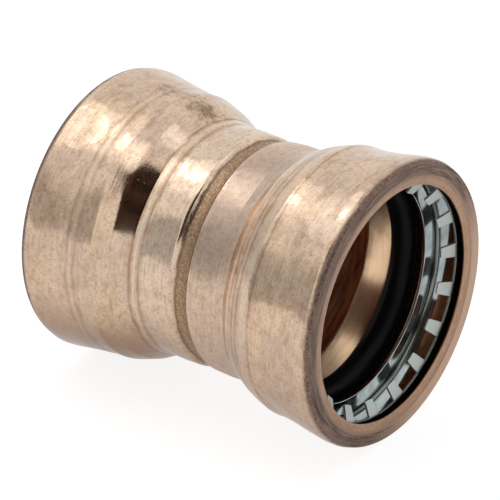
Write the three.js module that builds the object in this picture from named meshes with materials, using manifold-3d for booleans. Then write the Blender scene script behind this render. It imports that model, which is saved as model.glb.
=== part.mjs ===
// Push-fit straight coupling for 28 mm copper pipe, in millimetres.
// The axis runs along X, with the front mouth towards +X, and the part lies on the plane z = 0.
// Each end holds, from its mouth inwards, a toothed grab ring, a support ring and an O-ring.
import * as THREE from 'three';
import { mergeVertices } from 'three/addons/utils/BufferGeometryUtils.js';
import Module from 'manifold-3d';

const wasm = await Module();
wasm.setup();

// Driving dimensions
const PIPE_RADIUS = 14;
const LENGTH = 43.6;
const OUTER_RADIUS = 18.25;
const WALL = 0.9;
const AROUND = 48;                           // facets round the axis, a multiple of four
const FACET_SCALE = 1 / Math.cos(Math.PI / AROUND);   // puts the facets' middles on the true radius

// Body
const NECK_BORE = PIPE_RADIUS + 0.05;
const NECK_RADIUS = NECK_BORE + WALL;
const BARREL_RADIUS = 17.35;                 // over the O-ring groove
const SEAL_BORE = BARREL_RADIUS - 0.95;
const LATCH_BORE = 17.15;                    // cavity of the grab and support rings
const LIP_RADIUS = 15.05;                    // opening of the rolled-in lip
const FACE_INNER = 16.25;                    // inner edge of the flat cut face
const FACE_OUTER = OUTER_RADIUS - 0.4;
const NECK_DEPTH = 14;                       // where the bore narrows to the neck
const STOP_DEPTH = 20.65;                    // where the middle groove starts
const STOP_HEIGHT = 0.7;                     // how far the groove is pressed in

// Grab ring: a flat rim with teeth that lean inwards
const TOOTH_COUNT = 18;
const TOOTH_PHASE = THREE.MathUtils.degToRad(2.4);    // first tooth, from +Y towards +Z
const TOOTH_TIP = PIPE_RADIUS - 0.7;
const TOOTH_ROOT = 15.15;
const TOOTH_TIP_WIDTH = 1.45;
const TOOTH_ROOT_WIDTH = 1.95;
const GRAB_RIM = 16.4;
const GRAB_DEPTH = 1.45;
const GRAB_SHEET = 0.35;
const TOOTH_DROP = 1.05;

// Support ring: a sleeve with a flange that backs the O-ring space
const SLEEVE_OUTER = LATCH_BORE - 0.2;
const SUPPORT_SHEET = 0.4;
const SUPPORT_FRONT = 2;
const BEND = 0.4;                            // inner bend between sleeve and flange
const SUPPORT_BACK = 5.85;
const FLANGE_INNER = PIPE_RADIUS + 0.05;

// O-ring
const SEAL_SECTION = 3.2;
const SEAL_CENTRE = SEAL_BORE - 0.45 - SEAL_SECTION / 2;
const SEAL_DEPTH = 8.75;
const SEAL_STEPS = 12;

// Outlines are lists of [depth from the end face, radius], from the mouth inwards.
const OUTER_LINE = [
  [0, FACE_OUTER],
  [0.25, OUTER_RADIUS - 0.2],
  [0.9, OUTER_RADIUS],
  [1.8, OUTER_RADIUS],
  [3.1, 18.05],
  [4.9, 17.8],
  [6.3, 17.58],
  [8.4, BARREL_RADIUS],
  [9.9, BARREL_RADIUS],
  [11.1, 17.1],
  [12.2, 16.6],
  [13.3, 15.9],
  [14.6, 15.3],
  [16, NECK_RADIUS],
  [STOP_DEPTH, NECK_RADIUS],
  [STOP_DEPTH + 0.5, NECK_RADIUS - 0.6 * STOP_HEIGHT],
  [STOP_DEPTH + 1, NECK_RADIUS - STOP_HEIGHT],
];
const INNER_LINE = [
  [0, FACE_INNER],
  [0.22, LIP_RADIUS],
  [0.42, LIP_RADIUS],
  [0.95, 16.2],
  [1.25, LATCH_BORE],
  [6.2, LATCH_BORE],
  [6.7, SEAL_BORE],
  [10.2, SEAL_BORE],
  [11, 16],
  [NECK_DEPTH - 0.6, NECK_BORE + 0.4],
  [NECK_DEPTH, NECK_BORE],
  [STOP_DEPTH, NECK_BORE],
  [STOP_DEPTH + 0.5, NECK_BORE - 0.6 * STOP_HEIGHT],
  [STOP_DEPTH + 1, NECK_BORE - STOP_HEIGHT],
];

const material = (color, roughness, metalness) =>
  new THREE.MeshStandardMaterial({ color, roughness, metalness });
const copper = material(0xc99b7c, 0.32, 1);
const gripSteel = material(0xc4c6c1, 0.35, 1);
const mirrorSteel = material(0xccd2d2, 0.12, 1);
const blackRubber = material(0x0c0c0d, 0.5, 0);

const part = new THREE.Group();
part.position.z = OUTER_RADIUS;

function addMesh(name, geometry, meshMaterial) {
  const mesh = new THREE.Mesh(geometry, meshMaterial);
  mesh.name = name;
  part.add(mesh);
}

// Gives a [depth, radius] point of the front or the rear end as (radius, place along the axis).
function endPoint([depth, radius], atFront) {
  const along = LENGTH / 2 - depth;
  return new THREE.Vector2(radius * FACET_SCALE, atFront ? along : -along);
}

// Turns a closed outline of (radius, place along the axis) points about the X axis.
// The half step at the start puts a flat facet at the bottom.
function turned(points) {
  const anticlockwise = THREE.ShapeUtils.area(points) > 0 ? points : [...points].reverse();
  const closed = [...anticlockwise, anticlockwise[0].clone()];
  const geometry = new THREE.LatheGeometry(closed, AROUND, Math.PI / AROUND);
  geometry.rotateZ(-Math.PI / 2);
  return geometry;
}

function ringAtEnd(outline, atFront) {
  return turned(outline.map((point) => endPoint(point, atFront)));
}

function bodyGeometry() {
  const rearOuter = OUTER_LINE.map((point) => endPoint(point, false));
  const frontOuter = OUTER_LINE.map((point) => endPoint(point, true)).reverse();
  const frontInner = INNER_LINE.map((point) => endPoint(point, true));
  const rearInner = INNER_LINE.map((point) => endPoint(point, false)).reverse();
  return turned([...rearOuter, ...frontOuter, ...frontInner, ...rearInner]);
}

function toSolid(geometry) {
  const bare = geometry.clone();
  bare.deleteAttribute('normal');
  bare.deleteAttribute('uv');
  const merged = mergeVertices(bare, 1e-4);
  const vertProperties = new Float32Array(merged.attributes.position.array);
  const triVerts = new Uint32Array(merged.index.array);
  return new wasm.Manifold(new wasm.Mesh({ numProp: 3, vertProperties, triVerts }));
}

function toGeometry(solid) {
  const { vertProperties, triVerts } = solid.getMesh();
  const geometry = new THREE.BufferGeometry();
  geometry.setAttribute('position', new THREE.BufferAttribute(vertProperties, 3));
  geometry.setIndex(new THREE.BufferAttribute(triVerts, 1));
  geometry.computeVertexNormals();
  return geometry;
}

// The space between two teeth: a wedge with an arc along the rim, drawn across the axis.
function gapCutter(middleAngle) {
  const pitch = (2 * Math.PI) / TOOTH_COUNT;
  const inside = TOOTH_TIP - 1;
  const insideHalf = pitch / 2 - Math.asin(TOOTH_TIP_WIDTH / 2 / TOOTH_TIP);
  const rootHalf = pitch / 2 - Math.asin(TOOTH_ROOT_WIDTH / 2 / TOOTH_ROOT);
  const corner = (radius, angle) =>
    [radius * Math.cos(middleAngle + angle), radius * Math.sin(middleAngle + angle)];
  const shape = new THREE.Shape();
  shape.moveTo(...corner(inside, -insideHalf));
  for (const share of [-1, -0.5, 0, 0.5, 1]) {
    shape.lineTo(...corner(TOOTH_ROOT, share * rootHalf));
  }
  shape.lineTo(...corner(inside, insideHalf));
  const cutter = new THREE.ExtrudeGeometry(shape, { depth: LENGTH + 2, bevelEnabled: false });
  cutter.translate(0, 0, -LENGTH / 2 - 1);
  const alongX = new THREE.Vector3(1, 0, 0);
  const alongY = new THREE.Vector3(0, 1, 0);
  const alongZ = new THREE.Vector3(0, 0, 1);
  return cutter.applyMatrix4(new THREE.Matrix4().makeBasis(alongY, alongZ, alongX));
}

function grabRingGeometry(atFront) {
  const back = GRAB_DEPTH + GRAB_SHEET;
  const washer = ringAtEnd([
    [GRAB_DEPTH, GRAB_RIM],
    [GRAB_DEPTH, TOOTH_ROOT],
    [GRAB_DEPTH + TOOTH_DROP, TOOTH_TIP],
    [back + TOOTH_DROP, TOOTH_TIP],
    [back, TOOTH_ROOT],
    [back, GRAB_RIM],
  ], atFront);
  let solid = toSolid(washer);
  for (let tooth = 0; tooth < TOOTH_COUNT; tooth += 1) {
    const middleAngle = TOOTH_PHASE + ((tooth + 0.5) * 2 * Math.PI) / TOOTH_COUNT;
    solid = solid.subtract(toSolid(gapCutter(middleAngle)));
  }
  return toGeometry(solid);
}

function supportRingGeometry(atFront) {
  const sleeveInner = SLEEVE_OUTER - SUPPORT_SHEET;
  const flangeFront = SUPPORT_BACK - SUPPORT_SHEET;
  return ringAtEnd([
    [SUPPORT_FRONT, SLEEVE_OUTER],
    [SUPPORT_FRONT, sleeveInner],
    [flangeFront - BEND, sleeveInner],
    [flangeFront, sleeveInner - BEND],
    [flangeFront, FLANGE_INNER],
    [SUPPORT_BACK, FLANGE_INNER],
    [SUPPORT_BACK, sleeveInner],
    [flangeFront, SLEEVE_OUTER],
  ], atFront);
}

function sealGeometry(atFront) {
  const section = new THREE.Path();
  section.absarc(SEAL_DEPTH, SEAL_CENTRE, SEAL_SECTION / 2, 0, 2 * Math.PI);
  const outline = section.getSpacedPoints(SEAL_STEPS).slice(0, SEAL_STEPS);
  return ringAtEnd(outline.map((point) => [point.x, point.y]), atFront);
}

addMesh('body', bodyGeometry(), copper);
for (const end of ['front', 'rear']) {
  const atFront = end === 'front';
  addMesh(`${end}_grab_ring`, grabRingGeometry(atFront), gripSteel);
  addMesh(`${end}_support_ring`, supportRingGeometry(atFront), mirrorSteel);
  addMesh(`${end}_o_ring`, sealGeometry(atFront), blackRubber);
}

export default part;
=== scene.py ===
"""Looks of a push-fit straight coupling for copper pipe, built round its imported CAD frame."""
import math

import bpy
import numpy as np
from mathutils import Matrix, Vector, noise


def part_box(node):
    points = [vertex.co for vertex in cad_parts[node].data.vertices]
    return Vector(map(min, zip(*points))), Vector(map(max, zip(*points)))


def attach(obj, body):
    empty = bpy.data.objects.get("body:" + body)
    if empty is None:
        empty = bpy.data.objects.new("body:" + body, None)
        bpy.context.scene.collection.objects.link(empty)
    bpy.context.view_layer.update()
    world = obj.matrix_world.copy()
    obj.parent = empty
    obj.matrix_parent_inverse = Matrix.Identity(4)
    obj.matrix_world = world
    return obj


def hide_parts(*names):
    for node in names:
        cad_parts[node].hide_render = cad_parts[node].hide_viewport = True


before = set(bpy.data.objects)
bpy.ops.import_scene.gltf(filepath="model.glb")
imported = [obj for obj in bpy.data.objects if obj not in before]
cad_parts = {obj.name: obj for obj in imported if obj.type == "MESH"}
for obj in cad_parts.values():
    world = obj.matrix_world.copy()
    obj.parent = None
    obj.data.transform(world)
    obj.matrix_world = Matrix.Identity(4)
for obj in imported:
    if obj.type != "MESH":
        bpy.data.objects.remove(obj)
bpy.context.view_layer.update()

MM = 0.001

# Driving sizes, in millimetres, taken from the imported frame
BODY_LOW, BODY_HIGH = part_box("body")
HALF_LENGTH = (BODY_HIGH.x - BODY_LOW.x) / 2 / MM
LENGTH = 2 * HALF_LENGTH
OUTER_RADIUS = (BODY_HIGH.z - BODY_LOW.z) / 2 / MM
AXIS_HEIGHT = (BODY_HIGH.z + BODY_LOW.z) / 2 / MM


def depth_range(node):
    """The first and last depth of a front node, measured from the front end face."""
    low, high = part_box(node)
    return (BODY_HIGH.x - high.x) / MM, (BODY_HIGH.x - low.x) / MM


GRAB_FRONT, _ = depth_range("front_grab_ring")
SUPPORT_FRONT, SUPPORT_BACK = depth_range("front_support_ring")
SEAL_FRONT, SEAL_BACK = depth_range("front_o_ring")

# Pipe and copper body. Sizes without a unit are in millimetres.
PIPE_RADIUS = 14.0
LATCH_BORE = 17.15                           # room for the grab ring and the support ring
SEAL_BORE = 16.4
NECK_BORE = 14.05
NECK_RADIUS = 14.95
LIP_RADIUS = 15.05
FACE_INNER = 16.25                           # the flat cut face, from here
FACE_OUTER = 17.85                           # to here
GROOVE_SHIFT = 0.3                           # the middle groove sits a little towards the front

# Grab ring
TOOTH_COUNT = 18
TOOTH_PHASE = math.radians(2.4)              # first tooth, from +Y towards +Z
TOOTH_TIP = PIPE_RADIUS - 0.7
TOOTH_ROOT = 15.15
TIP_HALF = 1.45 / 2                          # half widths of a tooth
ROOT_HALF = 1.95 / 2
TOOTH_DROP = 1.05                            # how far a tooth leans inwards
TOOTH_CORNER = 0.12
GRAB_RIM = 16.4
GRAB_SHEET = 0.33
GRAB_EDGE = 0.035                            # rounding of the sheet's edges

# Support ring
SLEEVE_OUTER = 16.95
SLEEVE_INNER = SLEEVE_OUTER - 0.4
FLANGE_INNER = PIPE_RADIUS + 0.08
FLANGE_FRONT = SUPPORT_BACK - 0.48
SUPPORT_BEND = 0.65                          # inner fillet between sleeve and flange
SEAL_GAP = 0.45                              # play between the O-ring and its space

# How finely the pieces are divided
AROUND = 256                                 # steps round the axis
ARC_STEP = math.radians(9)                   # longest step round a fillet
FILLET_SHARE = 0.48                          # most of a straight stretch that a fillet takes up
NEARLY_STRAIGHT = math.radians(89.8)         # half of a corner's angle, past which nothing is rounded
SAME_POINT = 1e-6
SHARP_ANGLE = math.radians(40)


# ---------------------------------------------------------------- outlines

def rounded(corners, step):
    """Turns [depth, radius, fillet] corners into points, with arcs at the corners.

    Straight stretches are divided so that no piece is longer than step."""
    points = [np.array([corner[0], corner[1]], float) for corner in corners]
    out = []
    for index, corner in enumerate(corners):
        here = points[index]
        fillet = corner[2]
        if index in (0, len(corners) - 1) or fillet == 0:
            out.append(here)
            continue
        back = points[index - 1] - here
        ahead = points[index + 1] - here
        back_length, ahead_length = np.linalg.norm(back), np.linalg.norm(ahead)
        back, ahead = back / back_length, ahead / ahead_length
        half = math.acos(max(-1.0, min(1.0, float(back @ ahead)))) / 2
        if half > NEARLY_STRAIGHT:
            out.append(here)
            continue
        reach = min(fillet / math.tan(half), FILLET_SHARE * back_length, FILLET_SHARE * ahead_length)
        radius = reach * math.tan(half)
        middle = here + (back + ahead) / np.linalg.norm(back + ahead) * radius / math.sin(half)
        start, end = here + back * reach - middle, here + ahead * reach - middle
        turn = math.pi - 2 * half
        count = max(2, int(turn / ARC_STEP) + 1)
        for number in range(count + 1):
            share = number / count
            mixed = (math.sin((1 - share) * turn) * start + math.sin(share * turn) * end)
            out.append(middle + mixed / math.sin(turn))
    return divided(out, step)


def divided(points, step):
    """Divides the pieces between points that are longer than step, and drops repeated points."""
    dense = [points[0]]
    for point in points[1:]:
        start = dense[-1]
        gap = np.linalg.norm(point - start)
        if gap < SAME_POINT:
            continue
        pieces = max(1, math.ceil(gap / step))
        for number in range(1, pieces + 1):
            dense.append(start + (point - start) * number / pieces)
    return dense


def mirrored(corners):
    """The same outline at the other end of the part, in the opposite order."""
    return [[LENGTH - depth, *rest] for depth, *rest in reversed(corners)]


# ---------------------------------------------------------------- meshes

def new_object(name, vertices, faces, materials, slots=None):
    mesh = bpy.data.meshes.new(name)
    mesh.from_pydata(vertices, [], faces)
    for material in materials:
        mesh.materials.append(material)
    if slots is not None:
        mesh.polygons.foreach_set("material_index", slots)
    mesh.polygons.foreach_set("use_smooth", [True] * len(mesh.polygons))
    mesh.set_sharp_from_angle(angle=SHARP_ANGLE)
    mesh.validate()
    mesh.update()
    piece = bpy.data.objects.new(name, mesh)
    bpy.context.scene.collection.objects.link(piece)
    return piece


def place(depth, radius, angle, at_front=True):
    """A point in metres, from its depth behind an end face, its radius and its angle from +Y to +Z."""
    along = HALF_LENGTH - depth if at_front else depth - HALF_LENGTH
    return (
        along * MM,
        radius * math.cos(angle) * MM,
        (AXIS_HEIGHT + radius * math.sin(angle)) * MM,
    )


def turned(name, sections, materials, at_front=True, shift=None):
    """A closed solid of revolution.

    sections is a list of (material slot, points), end to end round the outline; each point is
    (depth, radius). shift(slot, depth, radius, angle) gives a change of radius in millimetres."""
    outline, slots = [], []
    for slot, points in sections:
        for point in points[:-1]:
            outline.append((float(point[0]), float(point[1])))
            slots.append(slot)
    count = len(outline)
    vertices = []
    for step in range(AROUND):
        angle = 2 * math.pi * step / AROUND
        for (depth, radius), slot in zip(outline, slots):
            change = shift(slot, depth, radius, angle) if shift else 0
            vertices.append(place(depth, radius + change, angle, at_front))
    area = sum(
        outline[i][0] * outline[(i + 1) % count][1] - outline[(i + 1) % count][0] * outline[i][1]
        for i in range(count)
    )
    flip = (area > 0) == at_front
    faces = []
    for step in range(AROUND):
        here, there = step * count, (step + 1) % AROUND * count
        for index in range(count):
            after = (index + 1) % count
            face = (here + index, here + after, there + after, there + index)
            faces.append(face[::-1] if flip else face)
    return new_object(name, vertices, faces, materials, slots * AROUND)


# ---------------------------------------------------------------- material graphs

class Graph:
    """Short calls for building one material's nodes. Lengths are in millimetres."""

    def __init__(self, name):
        self.material = bpy.data.materials.new(name)
        self.material.use_nodes = True
        self.tree = self.material.node_tree
        self.shader = self.tree.nodes["Principled BSDF"]
        self.position = self.node("ShaderNodeTexCoord").outputs["Object"]

    def node(self, kind, **settings):
        made = self.tree.nodes.new(kind)
        for key, value in settings.items():
            setattr(made, key, value)
        return made

    def link(self, value, socket):
        if isinstance(value, bpy.types.NodeSocket):
            self.tree.links.new(value, socket)
        else:
            socket.default_value = value

    def link_color(self, value, socket):
        self.link(value if isinstance(value, bpy.types.NodeSocket) else (*value, 1.0), socket)

    def math(self, operation, first, second=0.0):
        made = self.node("ShaderNodeMath", operation=operation)
        self.link(first, made.inputs[0])
        self.link(second, made.inputs[1])
        return made.outputs[0]

    def plus(self, first, second):
        return self.math("ADD", first, second)

    def times(self, first, second):
        return self.math("MULTIPLY", first, second)

    def strongest(self, masks):
        total = masks[0]
        for mask in masks[1:]:
            total = self.math("MAXIMUM", total, mask)
        return total

    def spread(self, value, low, high, to_low=0.0, to_high=1.0):
        """A smooth step from to_low, at low, to to_high, at high."""
        made = self.node("ShaderNodeMapRange", interpolation_type="SMOOTHSTEP")
        self.link(value, made.inputs["Value"])
        for key, number in (("From Min", low), ("From Max", high), ("To Min", to_low), ("To Max", to_high)):
            made.inputs[key].default_value = number
        return made.outputs["Result"]

    def band_mask(self, value, low, high, soft):
        """1 between two places, with soft edges."""
        rise = self.spread(value, low - soft, low + soft)
        fall = self.spread(value, high - soft, high + soft, 1.0, 0.0)
        return self.times(rise, fall)

    def band(self, value, middle, half_width):
        """1 at the middle of a band, falling smoothly to 0 at its edges."""
        distance = self.math("ABSOLUTE", self.math("SUBTRACT", value, middle))
        return self.spread(distance, 0.0, half_width, 1.0, 0.0)

    def mix(self, share, first, second):
        made = self.node("ShaderNodeMix", data_type="RGBA")
        self.link(share, made.inputs[0])
        self.link_color(first, made.inputs[6])
        self.link_color(second, made.inputs[7])
        return made.outputs[2]

    def bump(self, height, distance, onto=None):
        made = self.node("ShaderNodeBump")
        made.inputs["Strength"].default_value = 1.0
        made.inputs["Distance"].default_value = distance * MM
        self.link(height, made.inputs["Height"])
        if onto is not None:
            self.link(onto, made.inputs["Normal"])
        return made.outputs["Normal"]

    def scaled(self, factors):
        """Object position in millimetres, multiplied by factors along X, Y and Z."""
        made = self.node("ShaderNodeMapping")
        self.link(self.position, made.inputs["Vector"])
        made.inputs["Scale"].default_value = [factor / MM for factor in factors]
        return made.outputs["Vector"]

    def noise(self, vector, detail, roughness):
        made = self.node("ShaderNodeTexNoise")
        self.link(vector, made.inputs["Vector"])
        made.inputs["Scale"].default_value = 1.0
        made.inputs["Detail"].default_value = detail
        made.inputs["Roughness"].default_value = roughness
        return made.outputs["Fac"]

    def pattern(self, factors, detail=3.0, roughness=0.5):
        """Noise that is finer along an axis where its factor is larger."""
        return self.noise(self.scaled(factors), detail, roughness)

    def round_the_axis(self, across, around, detail, roughness):
        """Noise in streaks round the axis: across is per millimetre of radius, around per radian."""
        _, side, up = self.places()
        radius = self.radius()
        joined = self.node("ShaderNodeCombineXYZ")
        self.link(self.times(radius, across), joined.inputs[0])
        self.link(self.math("DIVIDE", self.times(side, around), radius), joined.inputs[1])
        self.link(self.math("DIVIDE", self.times(up, around), radius), joined.inputs[2])
        return self.noise(joined.outputs[0], detail, roughness)

    def cells(self, factors):
        made = self.node("ShaderNodeTexVoronoi")
        self.link(self.scaled(factors), made.inputs["Vector"])
        made.inputs["Scale"].default_value = 1.0
        return made.outputs["Distance"]

    def places(self):
        """Place along the axis from the middle, and sideways and upwards from the axis."""
        parts = self.node("ShaderNodeSeparateXYZ")
        self.link(self.scaled((1, 1, 1)), parts.inputs[0])
        return parts.outputs[0], parts.outputs[1], self.math("SUBTRACT", parts.outputs[2], AXIS_HEIGHT)

    def along(self):
        return self.places()[0]

    def from_middle(self):
        return self.math("ABSOLUTE", self.along())

    def radius(self):
        _, side, up = self.places()
        squares = self.plus(self.math("POWER", side, 2.0), self.math("POWER", up, 2.0))
        return self.math("SQRT", squares)

    def toward(self, side_share, up_share):
        """Distance from the axis, measured along a direction across it."""
        _, side, up = self.places()
        return self.plus(self.times(side, side_share), self.times(up, up_share))

    def away_from(self, point):
        """Distance from a point that is given in metres."""
        made = self.node("ShaderNodeVectorMath", operation="DISTANCE")
        self.link(self.position, made.inputs[0])
        made.inputs[1].default_value = point
        return self.times(made.outputs["Value"], 1 / MM)

    def finish(self, color, roughness, metallic=0.0, normal=None):
        self.link_color(color, self.shader.inputs["Base Color"])
        self.link(roughness, self.shader.inputs["Roughness"])
        self.shader.inputs["Metallic"].default_value = metallic
        if normal is not None:
            self.link(normal, self.shader.inputs["Normal"])
        return self.material


# ---------------------------------------------------------------- the tube's outer copper

COPPER_LIGHT = (0.84, 0.62, 0.44)
COPPER_ROSE = (0.72, 0.55, 0.425)
COPPER_RUST = (0.62, 0.41, 0.27)
COPPER_BROWN = (0.34, 0.205, 0.13)
COPPER_DARK = (0.12, 0.075, 0.05)
PATINA = (0.68, 0.515, 0.41)
PATINA_PAINTED_SHADE = (0.5, 0.38, 0.305)
NECK_PAINTED_HIGHLIGHT = (0.92, 0.74, 0.57)
CREASE_BROWN = (0.4, 0.24, 0.15)
CREASE_GLINT_COLOR = (0.86, 0.68, 0.52)
SPOT_BROWN = (0.27, 0.165, 0.105)
GROOVE_GOLDEN = (0.5, 0.33, 0.2)
GROOVE_BROWN = (0.24, 0.15, 0.095)
RIM_BROWN = (0.27, 0.185, 0.145)
RIM_DARK = (0.13, 0.085, 0.065)
RIM_PAINTED_LIGHT = (0.66, 0.45, 0.33)

# Sides of the tube, as directions across the axis: (share of +Y, share of +Z)
# painted lighter on this side, as the reflection of bright surroundings
BRIGHT_REFLECTION_SIDE = (0.83, -0.56)
# where the softbox's highlight falls on the neck; the patina is painted darker here
HIGHLIGHT_SIDE = (-0.57, 0.82)
# the underside, which gets painted shade
SHADED_UNDERSIDE = (-0.3, -0.95)

# Rolled lines round the tube: (place along the axis, half width, strength)
BROWN_CREASES = (
    (-7.2, 0.3, 0.95),
    (-6.0, 0.3, 0.75),
    (-15.2, 0.3, 0.5),
    (-14.1, 0.35, 0.45),
    (7.2, 0.25, 0.65),
    (9.3, 0.4, 0.75),
    (10.1, 0.4, 0.8),
    (12.3, 0.3, 0.75),
)
# The pale lines among them are painted highlights, where the rolled edges catch the light
CREASE_GLINTS = (
    (-6.6, 0.28, 0.8),
    (-14.65, 0.25, 0.5),
    (7.95, 0.35, 0.6),
    (11.2, 0.7, 0.35),
)

# Darker brown spots on top of the rear end: (place along the axis, angle from +Y towards +Z, reach,
# strength)
SPOT_RADIUS = 16.8
BROWN_SPOTS = (
    (-9.0, 80, 3.2, 0.95),
    (-12.4, 80, 2.2, 0.6),
    (-15.0, 81, 2.4, 0.7),
    (-6.0, 92, 2.0, 0.4),
)


def spot_mask(graph, ragged):
    """Round spots, whose edges a noise makes ragged."""
    spots = []
    for along, angle, reach, strength in BROWN_SPOTS:
        middle = place(HALF_LENGTH - along, SPOT_RADIUS, math.radians(angle))
        away = graph.plus(graph.away_from(middle), graph.spread(ragged, 0.3, 0.7, -1.2, 1.2))
        spots.append(graph.spread(away, 0.0, reach, strength, 0.0))
    return graph.strongest(spots)


def crease_mask(graph, along, creases):
    lines = []
    for middle, half_width, strength in creases:
        lines.append(graph.times(graph.band(along, middle, half_width), strength))
    return graph.strongest(lines)


def pit_mask(graph):
    """Small round pits, here and there."""
    sparse = graph.spread(graph.pattern((0.45, 0.45, 0.45)), 0.44, 0.66)
    return graph.times(graph.spread(graph.cells((2.4, 2.1, 2.1)), 0.08, 0.2, 1.0, 0.0), sparse)


def tinted(graph, color, along, patina):
    """A patina on the front half of the neck, with painted shade on its side towards the light, and a rear
    half painted pale as a highlight.
    """
    color = graph.mix(graph.times(patina, 0.4), color, PATINA)
    # Painted shade: the patina is darker on the side towards the light, to mute the highlight there.
    highlight_shade = graph.spread(graph.toward(*HIGHLIGHT_SIDE), 10.0, 14.5, 0.0, 0.7)
    color = graph.mix(graph.times(patina, highlight_shade), color, PATINA_PAINTED_SHADE)
    # Painted highlight: a paler band round the rear neck, for the bright reflection seen there.
    rear_neck_highlight = graph.band_mask(along, -5.6, -1.0, 0.3)
    return graph.mix(graph.times(rear_neck_highlight, 0.45), color, NECK_PAINTED_HIGHLIGHT)


def creased(graph, color, along, patchy):
    browns = graph.times(crease_mask(graph, along, BROWN_CREASES), patchy)
    color = graph.mix(browns, color, CREASE_BROWN)
    # Painted highlights: pale lines along the rolled edges of the creases.
    lights = graph.times(crease_mask(graph, along, CREASE_GLINTS), patchy)
    return graph.mix(lights, color, CREASE_GLINT_COLOR)


def shaded_below(graph, color, along):
    """Painted shade: the underside is browner, most of all at the rear."""
    low = graph.spread(graph.toward(*SHADED_UNDERSIDE), 7.0, 16.5, 0.0, 0.9)
    return graph.mix(graph.times(low, graph.spread(along, -8.0, 4.0, 1.0, 0.45)), color, COPPER_BROWN)


def grooved(graph, color, along, groove, grain):
    """Golden brown in the middle groove, with painted shade along its edges."""
    rolled = graph.mix(graph.spread(grain, 0.36, 0.66), GROOVE_GOLDEN, GROOVE_BROWN)
    color = graph.mix(groove, color, rolled)
    # Painted shade: dark lines along both edges of the groove.
    rear_edge = graph.band(along, GROOVE_SHIFT - 0.95, 0.25)
    front_edge = graph.band(along, GROOVE_SHIFT + 0.95, 0.22)
    edges = graph.strongest([rear_edge, front_edge])
    return graph.mix(graph.times(edges, 0.6), color, COPPER_DARK)


def rimmed(graph, color, worn, grain):
    """Dark brown where the tube turns in to its end faces, painted lighter on one side as a reflection."""
    brown = graph.mix(graph.spread(grain, 0.4, 0.62), RIM_BROWN, RIM_DARK)
    # Painted reflection: the rim is lighter on one side.
    lit_side = graph.spread(graph.toward(*BRIGHT_REFLECTION_SIDE), 3.0, 14.0, 0.0, 0.8)
    return graph.mix(worn, color, graph.mix(lit_side, brown, RIM_PAINTED_LIGHT))


def outer_copper():
    """The outside of the tube: blotched copper with a patina, creases, pits, brown spots and worn rims, and
    painted shade and highlights.
    """
    graph = Graph("copper_outer")
    blotches = graph.pattern((0.2, 0.16, 0.16), detail=5.0, roughness=0.62)
    clouds = graph.pattern((0.7, 0.45, 0.45), detail=4.0, roughness=0.6)
    mottles = graph.pattern((1.5, 1.3, 1.3))
    streaks = graph.pattern((4.5, 0.3, 0.3), detail=4.0, roughness=0.65)
    grain = graph.pattern((3.4, 3.4, 3.4), roughness=0.75)
    wobble = graph.spread(graph.pattern((1.2, 0.5, 0.5)), 0.2, 0.8, -0.1, 0.1)
    along = graph.plus(graph.along(), wobble)
    patina = graph.band_mask(along, 1.6, 7.0, 0.5)
    groove = graph.band_mask(along, GROOVE_SHIFT - 1.0, GROOVE_SHIFT + 1.0, 0.16)
    worn = graph.spread(graph.plus(graph.from_middle(), wobble), HALF_LENGTH - 0.95, HALF_LENGTH - 0.3)
    pits = pit_mask(graph)

    color = graph.mix(graph.spread(blotches, 0.38, 0.62), COPPER_LIGHT, COPPER_ROSE)
    color = graph.mix(graph.spread(clouds, 0.44, 0.68, 0.0, 0.6), color, COPPER_RUST)
    color = tinted(graph, color, along, patina)
    color = graph.mix(graph.spread(mottles, 0.48, 0.72, 0.0, 0.35), color, COPPER_BROWN)
    color = graph.mix(graph.spread(streaks, 0.46, 0.75, 0.0, 0.42), color, COPPER_BROWN)
    color = graph.mix(graph.spread(grain, 0.48, 0.7, 0.0, 0.45), color, COPPER_BROWN)
    color = creased(graph, color, along, graph.spread(clouds, 0.3, 0.6, 0.5, 1.0))
    color = graph.mix(graph.times(pits, 0.6), color, COPPER_DARK)
    color = graph.mix(spot_mask(graph, mottles), color, SPOT_BROWN)
    color = shaded_below(graph, color, along)
    color = grooved(graph, color, along, groove, grain)
    color = rimmed(graph, color, worn, grain)

    roughness = graph.spread(blotches, 0.35, 0.65, 0.1, 0.16)
    for mask, extra in ((groove, 0.2), (worn, 0.4), (patina, 0.16)):
        roughness = graph.plus(roughness, graph.times(mask, extra))

    normal = graph.bump(streaks, 0.006)
    normal = graph.bump(grain, 0.005, onto=normal)
    normal = graph.bump(graph.math("SUBTRACT", 1.0, pits), 0.012, onto=normal)
    normal = graph.bump(graph.times(grain, groove), 0.04, onto=normal)
    return graph.finish(color, roughness, 1.0, normal)


# ---------------------------------------------------------------- the other copper surfaces

CUT_DARK = (0.068, 0.044, 0.035)
CUT_LIGHT = (0.28, 0.182, 0.137)
CUT_PAINTED_LIGHT = (0.64, 0.43, 0.30)
CUT_EDGE_HIGHLIGHT = (0.40, 0.265, 0.19)
LIP_ORANGE = (0.47, 0.29, 0.19)
LIP_BROWN = (0.33, 0.20, 0.13)
LIP_EDGE = (0.25, 0.165, 0.125)
TAN_LIGHT = (1.0, 0.7, 0.46)
TAN_DEEP = (0.9, 0.58, 0.36)
TAN_STAIN = (0.30, 0.17, 0.10)
OXIDE_RED = (0.22, 0.085, 0.045)
OXIDE_LIGHT = (0.5, 0.23, 0.125)
# painted shade for the hollow round the rings
INSIDE_PAINTED_SHADE = (0.03, 0.018, 0.012)

# Where the inside changes colour, in millimetres from the middle of the part
NECK_END = 7.8                               # the neck starts to widen here
SEAL_END = 14.6                              # the O-ring side that faces the mouth


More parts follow.
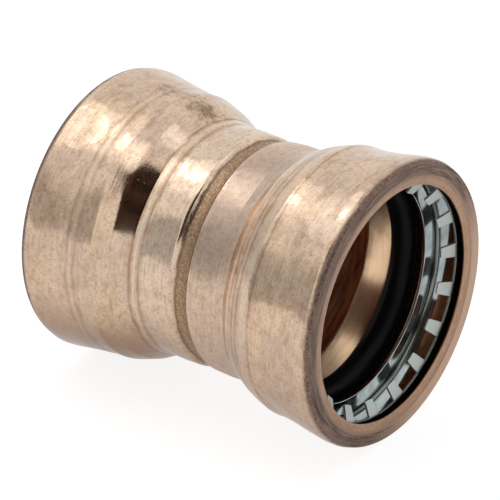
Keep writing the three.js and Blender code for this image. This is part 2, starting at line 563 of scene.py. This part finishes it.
def cut_copper():
    """The flat face where the tube was cut: dull and purplish, streaked round the axis."""
    graph = Graph("copper_cut_face")
    grain = graph.pattern((4.2, 4.2, 4.2), detail=5.0, roughness=0.75)
    streaks = graph.round_the_axis(4.4, 4.0, detail=4.0, roughness=0.65)
    shade = graph.plus(graph.times(grain, 0.35), graph.times(streaks, 0.65))
    color = graph.mix(graph.spread(shade, 0.36, 0.64), CUT_DARK, CUT_LIGHT)
    # Painted reflection: the cut face is lighter on one side.
    lit_side = graph.spread(graph.toward(*BRIGHT_REFLECTION_SIDE), 5.0, 15.0, 0.0, 0.75)
    color = graph.mix(lit_side, color, CUT_PAINTED_LIGHT)
    # Painted highlight: a lighter line along the face's inner edge.
    edge = graph.spread(graph.radius(), FACE_INNER - 0.05, FACE_INNER + 0.35, 0.6, 0.0)
    color = graph.mix(edge, color, CUT_EDGE_HIGHLIGHT)
    return graph.finish(color, 0.42, 1.0, graph.bump(shade, 0.12))


def lip_copper():
    """The chamfer of the mouth, smoother and more orange than the cut face."""
    graph = Graph("copper_lip")
    grain = graph.pattern((1.6, 1.6, 1.6), detail=5.0, roughness=0.7)
    streaks = graph.round_the_axis(2.0, 2.5, detail=4.0, roughness=0.6)
    shade = graph.plus(graph.times(grain, 0.5), graph.times(streaks, 0.5))
    color = graph.mix(graph.spread(shade, 0.36, 0.64), LIP_ORANGE, LIP_BROWN)
    edge = graph.spread(graph.radius(), FACE_INNER - 0.55, FACE_INNER, 0.0, 0.6)
    color = graph.mix(edge, color, LIP_EDGE)
    return graph.finish(color, 0.36, 1.0, graph.bump(shade, 0.03))


def inner_copper():
    """Tan copper behind the seal, reddish oxide in the neck, and painted shade in the hollow round the
    rings.
    """
    graph = Graph("copper_inside")
    streaks = graph.pattern((3.0, 0.25, 0.25), detail=4.0, roughness=0.6)
    stains = graph.pattern((0.3, 0.3, 0.3), detail=5.0, roughness=0.6)
    tan = graph.mix(graph.spread(streaks, 0.3, 0.7), TAN_LIGHT, TAN_DEEP)
    tan = graph.mix(graph.spread(stains, 0.52, 0.72, 0.0, 0.4), tan, TAN_STAIN)
    oxide = graph.mix(graph.spread(streaks, 0.35, 0.65), OXIDE_RED, OXIDE_LIGHT)
    from_middle = graph.from_middle()
    neck = graph.spread(from_middle, NECK_END - 0.2, NECK_END + 0.2, 1.0, 0.0)
    color = graph.mix(neck, tan, oxide)
    # Painted shade: nearly black from the seal out to the lip, where the rings sit in shadow.
    color = graph.mix(graph.spread(from_middle, SEAL_END - 0.2, SEAL_END + 0.2), color, INSIDE_PAINTED_SHADE)
    roughness = graph.plus(0.22, graph.times(neck, 0.06))
    return graph.finish(color, roughness, 1.0, graph.bump(streaks, 0.004))


# ---------------------------------------------------------------- steel and rubber

SATIN_DARK = (0.46, 0.485, 0.465)
SATIN_LIGHT = (0.54, 0.565, 0.54)
RIM_PAINTED_SHADE = (0.05, 0.045, 0.04)
BRIGHT_LIGHT = (0.66, 0.72, 0.75)
BRIGHT_DARK = (0.44, 0.48, 0.5)
BEND_GREY = (0.26, 0.275, 0.25)
SLEEVE_PAINTED_REFLECTION = (0.8, 0.81, 0.74)
RUBBER_BLACK = (0.0015, 0.0015, 0.002)
RUBBER_SMEAR = (0.003, 0.003, 0.0035)


def satin_steel():
    """The grab ring: satin teeth, and painted shade on the rim behind the lip."""
    graph = Graph("steel_satin")
    grain = graph.pattern((6.0, 6.0, 6.0), detail=4.0, roughness=0.7)
    color = graph.mix(graph.spread(grain, 0.3, 0.7), SATIN_DARK, SATIN_LIGHT)
    # Painted shade: the rim is darkened where it lies in the lip's shadow.
    rim_shade = graph.spread(graph.radius(), TOOTH_ROOT - 0.03, TOOTH_ROOT + 0.15)
    color = graph.mix(rim_shade, color, RIM_PAINTED_SHADE)
    roughness = graph.spread(grain, 0.3, 0.7, 0.38, 0.5)
    return graph.finish(color, roughness, 1.0, graph.bump(grain, 0.004))


def bright_steel():
    """The support ring: a mirror flange, a duller bend and a sleeve painted pale as a reflection."""
    graph = Graph("steel_bright")
    lines = graph.pattern((9.0, 0.4, 0.4), detail=4.0, roughness=0.6)
    color = graph.mix(graph.spread(lines, 0.35, 0.7), BRIGHT_LIGHT, BRIGHT_DARK)
    bend_radius = SLEEVE_INNER - SUPPORT_BEND
    bend_end = HALF_LENGTH - FLANGE_FRONT + SUPPORT_BEND
    from_middle = graph.from_middle()
    off_flange = graph.spread(graph.radius(), bend_radius - 0.03, bend_radius + 0.08)
    off_sleeve = graph.spread(from_middle, bend_end - 0.1, bend_end + 0.1, 1.0, 0.0)
    bend = graph.times(off_flange, off_sleeve)
    color = graph.mix(bend, color, BEND_GREY)
    # Painted reflection: the sleeve is paler, for the white surroundings that it mirrors.
    sleeve = graph.spread(from_middle, bend_end, bend_end + 0.2)
    color = graph.mix(graph.times(sleeve, 0.6), color, SLEEVE_PAINTED_REFLECTION)
    roughness = graph.plus(graph.spread(lines, 0.3, 0.7, 0.05, 0.1), graph.times(bend, 0.2))
    return graph.finish(color, roughness, 1.0, graph.bump(lines, 0.001))


def black_rubber():
    """The O-ring: nearly black, a little smeared."""
    graph = Graph("rubber_black")
    grain = graph.pattern((5.0, 5.0, 5.0), detail=4.0, roughness=0.6)
    smears = graph.pattern((0.35, 0.25, 0.25))
    color = graph.mix(graph.spread(smears, 0.35, 0.7), RUBBER_BLACK, RUBBER_SMEAR)
    roughness = graph.spread(smears, 0.3, 0.7, 0.3, 0.42)
    graph.shader.inputs["Specular IOR Level"].default_value = 0.1
    return graph.finish(color, roughness, 0.0, graph.bump(grain, 0.006))


# ---------------------------------------------------------------- the copper body

# Outlines are lists of [depth from the front face, radius, fillet].
OUTER_BARREL = [
    [0.0, FACE_OUTER, 0],
    [0.25, OUTER_RADIUS - 0.22, 0.3],
    [0.9, OUTER_RADIUS, 0.8],
    [1.8, OUTER_RADIUS, 3.0],
    [4.9, 17.8, 3.0],
    [6.3, 17.58, 0.5],
    [8.4, 17.35, 2.5],
    [9.9, 17.35, 1.6],
    [12.2, 16.6, 2.5],
    [14.7, 15.22, 0.25],
    [15.6, 15.02, 0.5],
    [16.3, NECK_RADIUS - 0.06, 0.5],
    [18.2, NECK_RADIUS + 0.06, 8.0],
]
GROOVE = [
    [20.4, NECK_RADIUS - 0.06, 0.12],
    [20.75, NECK_RADIUS - 0.5, 0.4],
    [21.5, NECK_RADIUS - 0.7, 1.0],
    [22.3, NECK_RADIUS - 0.6, 0.6],
    [23.0, NECK_RADIUS, 0.7],
]
FACE = [
    [0.0, FACE_INNER, 0],
    [0.0, FACE_OUTER, 0],
]
LIP = [
    [0.42, LIP_RADIUS, 0],
    [0.22, LIP_RADIUS - 0.02, 0.08],
    [0.0, FACE_INNER, 0],
]
INNER_HALF = [
    [0.42, LIP_RADIUS, 0],
    [0.85, 16.2, 0.3],
    [1.25, LATCH_BORE, 0.2],
    [6.2, LATCH_BORE, 0.2],
    [6.7, SEAL_BORE, 0.2],
    [10.2, SEAL_BORE, 1.0],
    [13.4, NECK_BORE + 0.4, 1.2],
    [14.1, NECK_BORE, 1.0],
    [20.65, NECK_BORE, 0.3],
    [21.1, NECK_BORE - 0.5, 0.3],
    [21.8, NECK_BORE - 0.7, 1.0],            # the middle of the part
]
OUTER_STEP = 0.3                             # longest step along the outlines
INNER_STEP = 1.5

# The body's material slots
OUTSIDE, CUT_FACE, MOUTH_LIP, INSIDE = range(4)

# Shallow waves in the drawn tube: (how fine, how high), and how far they lie below the outline
WAVES = (
    (0.16, 0.12),
    (0.42, 0.034),
    (1.1, 0.006),
)
WAVE_SINK = 0.06
WAVE_RADIUS = 17                             # the waves are read off a cylinder of this radius
CALM_EDGE = 1.5                              # they fade out this near an end face
WAVE_ROOM = 0.01                             # and stay this far inside the outer radius

# Dents from handling: (depth from the front face, angle from +Y towards +Z, reach, how deep)
DENTS = (
    (40.6, 120, 3.2, 0.21),
    (35.1, 121, 1.7, 0.04),
    (32.9, 110, 3.4, 0.12),
    (26.6, 101, 2.7, 0.12),
    (26.0, 120, 2.1, 0.06),
    (25.9, 134, 2.4, 0.06),
    (18.2, 118, 3.2, 0.06),
    (7.5, 116, 1.8, 0.05),
    (7.8, 134, 2.8, 0.08),
    (2.9, 114, 2.1, 0.05),
    (2.6, 128, 2.3, 0.05),
    (34.0, 200, 3.5, 0.06),
    (9.0, 215, 3.0, 0.06),
    (12.0, 30, 3.0, 0.08),
    (31.0, 50, 3.2, 0.08),
    (36.0, 320, 3.0, 0.06),
    (8.0, 300, 3.2, 0.07),
)

# Fine ridges and furrows round the tube: (place along the axis, half width, height)
RIDGES = (
    (-14.65, 0.5, 0.015),
    (9.7, 0.9, -0.05),
    (7.9, 0.45, 0.04),
    (12.3, 0.4, -0.03),
)


def waves(depth, angle):
    """Change of radius by three sizes of noise."""
    spot = Vector((depth, WAVE_RADIUS * math.cos(angle), WAVE_RADIUS * math.sin(angle)))
    return sum(noise.noise(spot * fineness) * height for fineness, height in WAVES) - WAVE_SINK


def ridges(along):
    total = 0.0
    for middle, half_width, height in RIDGES:
        away = abs(along - middle) / half_width
        if away < 1:
            total += height * (1 + math.cos(math.pi * away)) / 2
    return total


def dents(depth, radius, angle):
    """How far the dents press the tube in here: bowls with a fairly crisp edge."""
    total = 0.0
    for dent_depth, dent_angle, reach, deep in DENTS:
        turn = (angle - math.radians(dent_angle) + math.pi) % (2 * math.pi) - math.pi
        away = ((depth - dent_depth) ** 2 + (turn * radius) ** 2) / reach ** 2
        if away < 1:
            total += deep * (1 - away)
    return total


def body_shift(slot, depth, radius, angle):
    """The outside of the drawn tube isn't perfectly round, but it stays within the outer radius."""
    if slot != OUTSIDE:
        return 0.0
    change = waves(depth, angle) + ridges(HALF_LENGTH - depth) - dents(depth, radius, angle)
    from_face = min(depth, LENGTH - depth)
    return min(change * min(1.0, from_face / CALM_EDGE), OUTER_RADIUS - WAVE_ROOM - radius)


def build_body(materials):
    outer = rounded(OUTER_BARREL + GROOVE + mirrored(OUTER_BARREL), OUTER_STEP)
    inner = rounded(INNER_HALF + mirrored(INNER_HALF[:-1]), INNER_STEP)
    face = rounded(FACE, OUTER_STEP)
    lip = rounded(LIP, OUTER_STEP)
    sections = [
        (OUTSIDE, outer),
        (CUT_FACE, mirrored(face)),
        (MOUTH_LIP, mirrored(lip)),
        (INSIDE, inner[::-1]),
        (MOUTH_LIP, lip),
        (CUT_FACE, face),
    ]
    return turned("copper_body", sections, materials, shift=body_shift)


# ---------------------------------------------------------------- the rings

def grab_depth(radius):
    """Depth of the ring's front face: flat at the rim, leaning inwards along a tooth."""
    if radius >= TOOTH_ROOT:
        return GRAB_FRONT
    return GRAB_FRONT + TOOTH_DROP * (TOOTH_ROOT - radius) / (TOOTH_ROOT - TOOTH_TIP)


def tooth_half_angle(radius):
    """Half of the angle that a tooth takes up, which narrows to its rounded tip corners."""
    share = (TOOTH_ROOT - radius) / (TOOTH_ROOT - TOOTH_TIP)
    half = ROOT_HALF + (TIP_HALF - ROOT_HALF) * share
    to_tip = radius - TOOTH_TIP
    if to_tip < TOOTH_CORNER:
        half -= TOOTH_CORNER - math.sqrt(max(0.0, TOOTH_CORNER ** 2 - (TOOTH_CORNER - to_tip) ** 2))
    return math.asin(half / radius)


def build_grab_ring(name, at_front, materials):
    """One sheet with leaning teeth, given its thickness and rounded edges by modifiers."""
    pitch = 2 * math.pi / TOOTH_COUNT
    tooth_columns, gap_columns, rim_rows, tooth_rows = 8, 12, 5, 14
    crowding = 0.8                           # below 1, so that the rows gather towards the tip
    root_half = tooth_half_angle(TOOTH_ROOT)
    column_angles = []
    for tooth in range(TOOTH_COUNT):
        middle = TOOTH_PHASE + tooth * pitch
        for column in range(tooth_columns):
            column_angles.append(middle + (-1 + 2 * column / tooth_columns) * root_half)
        for column in range(gap_columns):
            share = column / gap_columns
            column_angles.append(middle + root_half + share * (pitch - 2 * root_half))

    vertices, faces = [], []
    for angle in column_angles:
        for row in range(rim_rows + 1):
            radius = TOOTH_ROOT + (GRAB_RIM - TOOTH_ROOT) * row / rim_rows
            vertices.append(place(grab_depth(radius), radius, angle, at_front))
    stride = rim_rows + 1
    for index in range(len(column_angles)):
        here, after = index * stride, (index + 1) % len(column_angles) * stride
        for row in range(rim_rows):
            faces.append((here + row, after + row, after + row + 1, here + row + 1))

    for tooth in range(TOOTH_COUNT):
        middle = TOOTH_PHASE + tooth * pitch
        first = tooth * (tooth_columns + gap_columns)
        above = [(first + column) * stride for column in range(tooth_columns + 1)]
        for row in range(1, tooth_rows + 1):
            radius = TOOTH_ROOT + (TOOTH_TIP - TOOTH_ROOT) * (row / tooth_rows) ** crowding
            half = tooth_half_angle(radius)
            below = []
            for column in range(tooth_columns + 1):
                angle = middle + (-1 + 2 * column / tooth_columns) * half
                below.append(len(vertices))
                vertices.append(place(grab_depth(radius), radius, angle, at_front))
            for column in range(tooth_columns):
                faces.append((below[column], below[column + 1], above[column + 1], above[column]))
            above = below
    if at_front:
        faces = [face[::-1] for face in faces]

    piece = new_object(name, vertices, faces, materials)
    solid = piece.modifiers.new("sheet", "SOLIDIFY")
    solid.thickness = GRAB_SHEET * MM
    solid.offset = -1
    bevel = piece.modifiers.new("edges", "BEVEL")
    bevel.width = GRAB_EDGE * MM
    bevel.segments = 2
    bevel.limit_method = "ANGLE"
    bevel.angle_limit = SHARP_ANGLE
    return piece


def build_support_ring(name, at_front, materials):
    """A sleeve with a flange at its back. The outline starts and ends on the sleeve's outside."""
    front = SUPPORT_FRONT + 0.03
    corners = [
        [front + 0.9, SLEEVE_OUTER, 0],
        [front, SLEEVE_OUTER, 0.12],
        [front, SLEEVE_INNER, 0.12],
        [FLANGE_FRONT, SLEEVE_INNER, SUPPORT_BEND],
        [FLANGE_FRONT, FLANGE_INNER, 0.1],
        [SUPPORT_BACK, FLANGE_INNER, 0.1],
        [SUPPORT_BACK, SLEEVE_OUTER, 0.75],
        [front + 0.9, SLEEVE_OUTER, 0],
    ]
    return turned(name, [(0, rounded(corners, 0.25))], materials, at_front)


def build_o_ring(name, at_front, materials):
    section = (SEAL_BACK - SEAL_FRONT) / 2
    middle_depth = (SEAL_FRONT + SEAL_BACK) / 2
    middle_radius = SEAL_BORE - SEAL_GAP - section
    steps = 56
    points = []
    for step in range(steps + 1):
        angle = 2 * math.pi * step / steps
        points.append((middle_depth + section * math.cos(angle), middle_radius + section * math.sin(angle)))
    return turned(name, [(0, points)], materials, at_front)


# ---------------------------------------------------------------- camera, floor and light

def direction(azimuth_degrees, elevation_degrees):
    """A unit vector. Azimuth 0 is along +Y and 90 along +X."""
    azimuth, elevation = math.radians(azimuth_degrees), math.radians(elevation_degrees)
    return Vector((
        math.sin(azimuth) * math.cos(elevation),
        math.cos(azimuth) * math.cos(elevation),
        math.sin(elevation),
    ))


# Angles are in degrees, and lengths from here on are in metres unless a comment says otherwise.
CAMERA_FORWARD = direction(-36.82, -28.185)
CAMERA_DISTANCE = 0.455
CAMERA_LENS = 265.8                          # in millimetres, on a sensor 36 mm wide
PART_MIDDLE = Vector((0, 0, AXIS_HEIGHT * MM))
CAMERA_TARGET = PART_MIDDLE + Vector((-0.00021, 0.00014, 0.00045))

FLOOR_SIZE, FLOOR_GREY, FLOOR_GLOW = 3.2, 0.25, 0.84
MAT_SIZE, MAT_GREY, MAT_GLOW = 3.0, 0.5, 0.42
MAT_HEIGHT = 0.00004

SOFTBOX_TOWARD = direction(-92, 57)
SOFTBOX_DISTANCE, SOFTBOX_WIDTH, SOFTBOX_HEIGHT = 0.55, 0.11, 0.12
SOFTBOX_POWER = 0.058
SOFTBOX_COLOR = (1.0, 0.97, 0.92)

CARD_TOWARD = direction(145, 40)
CARD_DISTANCE, CARD_WIDTH, CARD_HEIGHT = 0.6, 0.465, 0.56
CARD_DARK = (0.006, 0.004, 0.004)
CARD_BROWN = (0.085, 0.048, 0.034)

# Soft patches on the tent: (direction, inner and outer radius in degrees, change of brightness)
TENT_PATCHES = (
    (SOFTBOX_TOWARD, 18, 21, 0.43),          # glow round the softbox
    (direction(35, 66), 8, 12, 0.5),         # a second, smaller glow
    (direction(-153, 77), 11, 16, 0.65),     # glow on the tent's roof
    (direction(-145, 14), 14, 30, -0.4),     # the greyer wall, left of the camera
    (direction(-102, 12), 8, 26, -0.25),     # and further left
)
TENT_BRIGHTNESS = 0.9
TENT_COLOR = (0.98, 0.99, 1.0)


def aim(thing, toward, distance):
    """Puts a light or a card at a distance from the part, and turns it to face the part."""
    thing.location = PART_MIDDLE + toward * distance
    thing.rotation_euler = (PART_MIDDLE - thing.location).to_track_quat("-Z", "Y").to_euler()


def add_camera():
    data = bpy.data.cameras.new("camera")
    data.lens = CAMERA_LENS
    data.sensor_width = 36
    data.clip_start = 0.01
    camera = bpy.data.objects.new("camera", data)
    camera.location = CAMERA_TARGET - CAMERA_FORWARD * CAMERA_DISTANCE
    camera.rotation_euler = CAMERA_FORWARD.to_track_quat("-Z", "Y").to_euler()
    bpy.context.scene.collection.objects.link(camera)
    bpy.context.scene.camera = camera


def add_softbox():
    data = bpy.data.lights.new("overhead_softbox", "AREA")
    data.shape = "RECTANGLE"
    data.size = SOFTBOX_WIDTH
    data.size_y = SOFTBOX_HEIGHT
    data.energy = SOFTBOX_POWER
    data.color = SOFTBOX_COLOR
    light = bpy.data.objects.new("overhead_softbox", data)
    aim(light, SOFTBOX_TOWARD, SOFTBOX_DISTANCE)
    bpy.context.scene.collection.objects.link(light)


def flat_sheet(name, width, height, material):
    """A rectangle round its own origin, staged outside the part."""
    x, y = width / 2, height / 2
    mesh = bpy.data.meshes.new(name)
    mesh.from_pydata([(-x, -y, 0), (x, -y, 0), (x, y, 0), (-x, y, 0)], [], [(0, 1, 2, 3)])
    mesh.materials.append(material)
    sheet = bpy.data.objects.new(name, mesh)
    bpy.context.scene.collection.objects.link(sheet)
    return sheet


def glowing_grey(name, grey, glow):
    graph = Graph(name)
    graph.shader.inputs["Emission Color"].default_value = (1, 1, 1, 1)
    graph.shader.inputs["Emission Strength"].default_value = glow
    return graph.finish((grey, grey, grey), 0.9)


def card_brown(name):
    """Dark brown with upright streaks."""
    graph = Graph(name)
    streaks = graph.pattern((0.022, 0.003, 0.022), roughness=0.6)
    color = graph.mix(graph.spread(streaks, 0.4, 0.62), CARD_DARK, CARD_BROWN)
    graph.shader.inputs["Specular IOR Level"].default_value = 0.0
    return graph.finish(color, 0.9)


def add_floor():
    flat_sheet("floor", FLOOR_SIZE, FLOOR_SIZE, glowing_grey("floor_white", FLOOR_GREY, FLOOR_GLOW))


def add_mat():
    """A greyer floor that only shows as a reflection in the metal."""
    mat = flat_sheet("mat", MAT_SIZE, MAT_SIZE, glowing_grey("mat_grey", MAT_GREY, MAT_GLOW))
    mat.location.z = MAT_HEIGHT
    mat.visible_camera = False
    mat.visible_shadow = False
    mat.visible_diffuse = False


def add_card():
    """A dark studio card that isn't seen by the camera, only in reflections and bounced light."""
    card = flat_sheet("camera_card", CARD_WIDTH, CARD_HEIGHT, card_brown("camera_card"))
    aim(card, CARD_TOWARD, CARD_DISTANCE)
    card.visible_camera = False
    card.visible_shadow = False


def add_world():
    """A pale tent with soft patches, each a smooth step of the cosine from its direction."""
    world = bpy.data.worlds.new("tent")
    bpy.context.scene.world = world
    world.use_nodes = True
    tree = world.node_tree
    background = tree.nodes["Background"]
    coordinate = tree.nodes.new("ShaderNodeTexCoord")
    total = None
    for toward, inner, outer, change in TENT_PATCHES:
        dot = tree.nodes.new("ShaderNodeVectorMath")
        dot.operation = "DOT_PRODUCT"
        tree.links.new(coordinate.outputs["Generated"], dot.inputs[0])
        dot.inputs[1].default_value = toward
        ramp = tree.nodes.new("ShaderNodeMapRange")
        ramp.interpolation_type = "SMOOTHSTEP"
        tree.links.new(dot.outputs["Value"], ramp.inputs["Value"])
        ramp.inputs["From Min"].default_value = math.cos(math.radians(outer))
        ramp.inputs["From Max"].default_value = math.cos(math.radians(inner))
        ramp.inputs["To Max"].default_value = change
        add = tree.nodes.new("ShaderNodeMath")
        tree.links.new(ramp.outputs["Result"], add.inputs[0])
        if total is None:
            add.inputs[1].default_value = TENT_BRIGHTNESS
        else:
            tree.links.new(total, add.inputs[1])
        total = add.outputs[0]
    tree.links.new(total, background.inputs["Strength"])
    background.inputs["Color"].default_value = (*TENT_COLOR, 1)


# ---------------------------------------------------------------- assembly

bpy.context.scene.view_settings.view_transform = "Standard"
add_camera()
add_floor()
add_world()
add_mat()
add_softbox()
add_card()

copper_parts = [outer_copper(), cut_copper(), lip_copper(), inner_copper()]
satin, bright, rubber = satin_steel(), bright_steel(), black_rubber()

body = build_body(copper_parts)
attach(body, "shell")
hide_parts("body")

for end in ("front", "rear"):
    at_front = end == "front"
    grab = build_grab_ring(f"{end}_grab_ring_visual", at_front, [satin])
    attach(grab, f"{end}_grip")
    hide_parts(f"{end}_grab_ring")
    support = build_support_ring(f"{end}_support_ring_visual", at_front, [bright])
    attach(support, "shell")
    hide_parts(f"{end}_support_ring")
    seal = build_o_ring(f"{end}_o_ring_visual", at_front, [rubber])
    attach(seal, "shell")
    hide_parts(f"{end}_o_ring")
